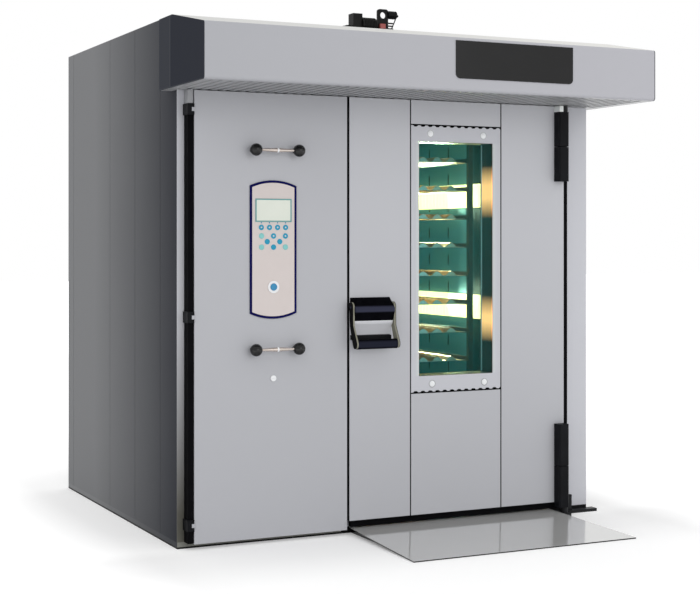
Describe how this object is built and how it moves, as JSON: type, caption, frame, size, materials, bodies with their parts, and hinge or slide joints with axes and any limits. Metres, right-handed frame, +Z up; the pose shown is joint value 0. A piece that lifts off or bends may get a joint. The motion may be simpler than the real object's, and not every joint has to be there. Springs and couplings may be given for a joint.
{
  "type": "rotating rack oven",
  "caption": "Rack oven with an insulated body, a front hood, hinged chamber and service doors, a window, a hung rack turned by a roof drive, and a loading ramp.",
  "frame": {"origin": "centre of the whole footprint, ramp included, on the floor", "axes": "+X to the oven's right side as seen from the front, +Y to its back, +Z up"},
  "size_m": [2.319, 2.522, 2.64],
  "materials": {
    "light_panel": "satin",
    "dark_panel": "satin",
    "stainless": "brushed",
    "chamber_steel": "satin",
    "rubber": "matte",
    "insulation": "matte",
    "lamp": "frosted",
    "exchanger_steel": "matte",
    "burner_paint": "satin",
    "galvanised": "satin",
    "motor_paint": "satin",
    "drive_black": "satin",
    "gear_steel": "satin",
    "rack_steel": "satin",
    "tray_steel": "satin",
    "wheel_black": "matte",
    "pivot_steel": "satin",
    "black_trim": "matte",
    "window_glass": "gloss",
    "panel_blue": "gloss",
    "panel_face": "satin",
    "display": "gloss",
    "key_cyan": "satin",
    "start_blue": "gloss",
    "chrome": "polished",
    "knob_black": "gloss",
    "lock_white": "gloss"
  },
  "bodies": {
    "body": {"base_frame": "stainless", "chamber_floor": "stainless", "side_panels": "dark_panel", "back_panels": "dark_panel", "roof_panels": "light_panel", "front_frame": "light_panel", "frame_seals": "rubber", "hood_fascia": "light_panel", "hood_lid": "stainless", "hood_ends": "dark_panel", "hood_underside": "stainless", "ramp": "stainless", "chamber_walls": "chamber_steel", "chamber_ceiling": "chamber_steel", "insulation_slabs": "insulation", "oven_lamps": "lamp", "heat_exchanger": "exchanger_steel", "burner": "burner_paint", "fan_housing": "galvanised", "fan_motor": "motor_paint", "flue_collar": "stainless", "drive_stand": "drive_black", "gear_motor": "drive_black", "rotation_switch": "drive_black", "door_pivots": "pivot_steel", "service_hinge_leaves": "black_trim"},
    "fan": {"fan_wheel": "galvanised"},
    "pinion": {"drive_pinion": "gear_steel"},
    "rotor": {"rotor_gear": "gear_steel", "rotor_shaft": "stainless", "hanger_fork": "rack_steel", "rack_side_frames": "rack_steel", "rack_ties": "rack_steel", "wave_trays": "tray_steel"},
    "caster_left": {"caster_fork_left": "galvanised"},
    "caster_right": {"caster_fork_right": "galvanised"},
    "front_left_wheel": {"wheel_front_left": "wheel_black"},
    "front_right_wheel": {"wheel_front_right": "wheel_black"},
    "rear_left_wheel": {"wheel_rear_left": "wheel_black"},
    "rear_right_wheel": {"wheel_rear_right": "wheel_black"},
    "chamber_door": {"door_core": "black_trim", "door_skins": "light_panel", "door_liner": "chamber_steel", "window_trim": "stainless", "window_panes": "window_glass", "door_gasket": "rubber", "hinge_covers": "black_trim", "handle_housing": "black_trim", "handle_scoop": "stainless"},
    "door_handle": {"handle_arms": "stainless", "handle_grip": "black_trim"},
    "service_door": {"service_door_panel": "light_panel", "control_surround": "panel_blue", "control_face": "panel_face", "display_lens": "display", "keypad_keys": "key_cyan", "pull_bars": "chrome", "pull_knobs": "knob_black"},
    "start_key": {"start_button": "start_blue"},
    "panel_lock": {"service_lock": "lock_white"}
  },
  "joints": [
    {"name": "chamber_door_hinge", "type": "hinge", "parent": "body", "child": "chamber_door", "pos_m": [0.9135, -0.636, 1], "axis": [0, 0, 1], "range_deg": [0, 110]},
    {"name": "handle_pull", "type": "hinge", "parent": "chamber_door", "child": "door_handle", "pos_m": [-0.1665, -0.641, 1.071], "axis": [-1, 0, 0], "range_deg": [0, 35]},
    {"name": "service_door_hinge", "type": "hinge", "parent": "body", "child": "service_door", "pos_m": [-1.0485, -0.614, 1], "axis": [0, 0, -1], "range_deg": [0, 110]},
    {"name": "start_push", "type": "slide", "parent": "service_door", "child": "start_key", "axis": [0, 1, 0], "range_m": [0, 0.003], "stiffness_N_per_m": 400},
    {"name": "lock_turn", "type": "hinge", "parent": "service_door", "child": "panel_lock", "pos_m": [-0.66, -0.615, 0.752], "axis": [0, 1, 0], "range_deg": [0, 90]},
    {"name": "rack_spin", "type": "hinge", "parent": "body", "child": "rotor", "pos_m": [0.328, 0.344, 2], "axis": [0, 0, 1], "continuous": true},
    {"name": "pinion_spin", "type": "hinge", "parent": "body", "child": "pinion", "pos_m": [0.178, 0.344, 2.44], "axis": [0, 0, 1], "continuous": true},
    {"name": "fan_spin", "type": "hinge", "parent": "body", "child": "fan", "pos_m": [-0.7375, -0.06, 1.75], "axis": [0, 1, 0], "continuous": true},
    {"name": "left_swivel", "type": "hinge", "parent": "rotor", "child": "caster_left", "pos_m": [0.004, -0.031, 0.12], "axis": [0, 0, 1], "continuous": true},
    {"name": "right_swivel", "type": "hinge", "parent": "rotor", "child": "caster_right", "pos_m": [0.652, -0.031, 0.12], "axis": [0, 0, 1], "continuous": true},
    {"name": "front_left_roll", "type": "hinge", "parent": "caster_left", "child": "front_left_wheel", "pos_m": [0.004, -0.007, 0.076], "axis": [1, 0, 0], "continuous": true},
    {"name": "front_right_roll", "type": "hinge", "parent": "caster_right", "child": "front_right_wheel", "pos_m": [0.652, -0.007, 0.076], "axis": [1, 0, 0], "continuous": true},
    {"name": "rear_left_roll", "type": "hinge", "parent": "rotor", "child": "rear_left_wheel", "pos_m": [0.004, 0.719, 0.076], "axis": [1, 0, 0], "continuous": true},
    {"name": "rear_right_roll", "type": "hinge", "parent": "rotor", "child": "rear_right_wheel", "pos_m": [0.652, 0.719, 0.076], "axis": [1, 0, 0], "continuous": true}
  ],
  "couplings": [
    {"joint": "pinion_spin", "follows": "rack_spin", "ratio": -4}
  ]
}
